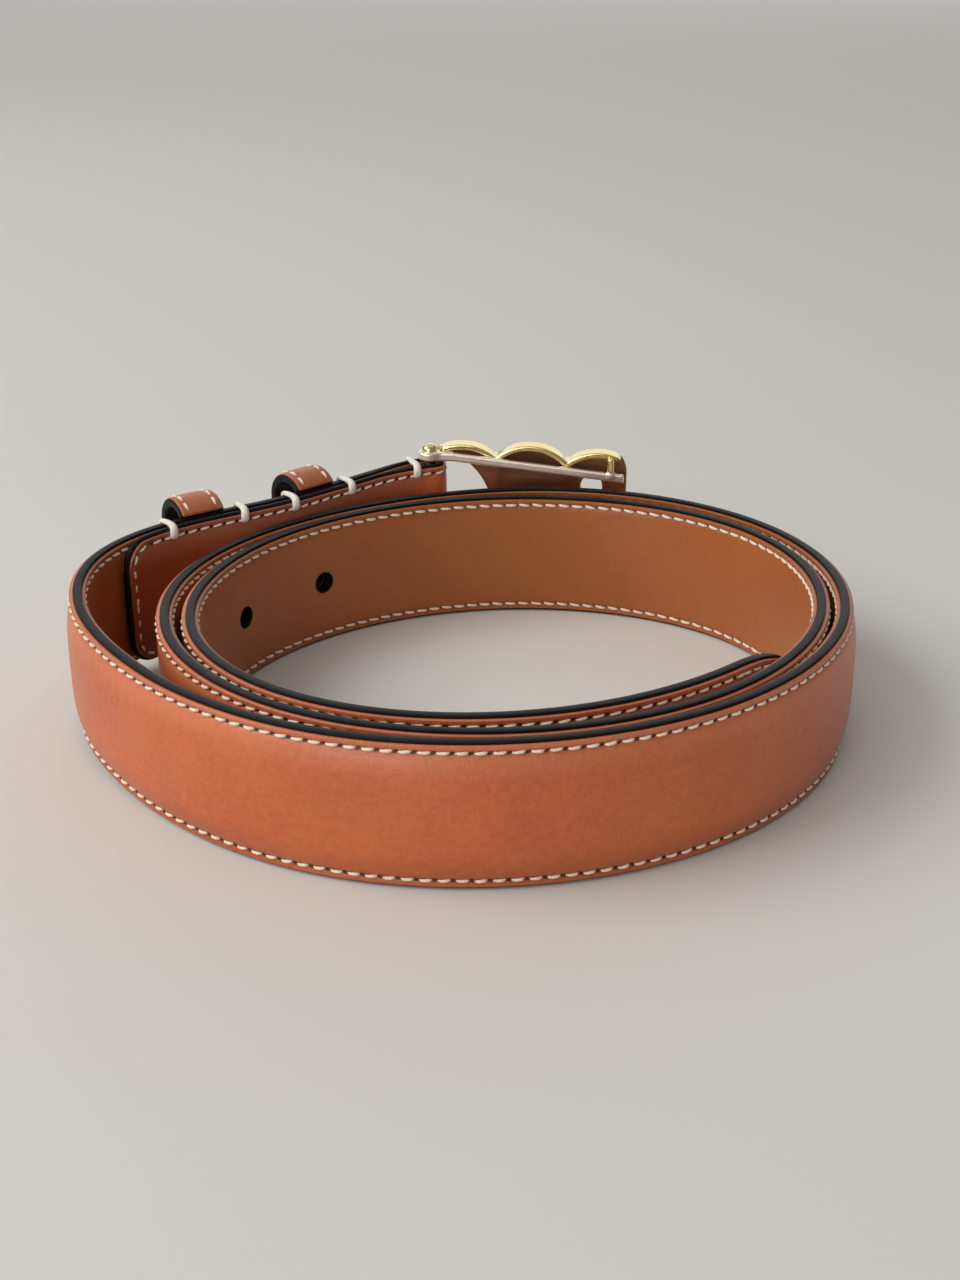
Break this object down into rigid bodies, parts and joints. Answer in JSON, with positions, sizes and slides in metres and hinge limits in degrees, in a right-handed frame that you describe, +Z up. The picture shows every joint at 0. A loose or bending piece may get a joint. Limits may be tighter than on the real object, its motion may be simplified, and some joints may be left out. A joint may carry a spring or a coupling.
{
  "type": "leather belt",
  "caption": "Lined and stitched leather dress belt with a hinged gold plate buckle and fixed keepers, rolled up and standing on its edge.",
  "frame": {"origin": "on the floor under the middle of the rolled belt's bounding box", "axes": "+Z up, across the strap's width; +Y towards the buckle, at the back of the roll; +X to the right, the way the buckle's free end points"},
  "size_m": [0.1664, 0.1512, 0.0393],
  "materials": {
    "face_leather": "fine-grained orange tan calf, satin",
    "lining_leather": "smooth brown lining, satin",
    "black_edge": "black edge paint, soft sheen",
    "seam_thread": "waxed cream thread",
    "tack_thread": "thick waxed cream thread",
    "polished_gold": "polished pale gold plating",
    "rose_gold": "polished rose-gold plating"
  },
  "bodies": {
    "strap": {"strap_face": "face_leather", "strap_filler": "black_edge", "strap_lining": "lining_leather", "upper_seam_thread": "seam_thread", "lower_seam_thread": "seam_thread", "near_keeper_leather": "face_leather", "near_keeper_lining": "black_edge", "near_keeper_thread": "seam_thread", "far_keeper_leather": "face_leather", "far_keeper_lining": "black_edge", "far_keeper_thread": "seam_thread", "upper_hand_tacks": "tack_thread", "lower_hand_tacks": "tack_thread"},
    "buckle": {"buckle_shell": "polished_gold", "buckle_rails": "rose_gold", "heel_pin": "polished_gold", "upper_pin_cap": "polished_gold", "lower_pin_cap": "polished_gold", "hook_peg": "rose_gold"}
  },
  "joints": [
    {"name": "buckle_hinge", "type": "hinge", "parent": "strap", "child": "buckle", "pos_m": [-0.00876, 0.07064, 0.0197], "axis": [0, 0, 1], "range_deg": [0, 110]}
  ]
}
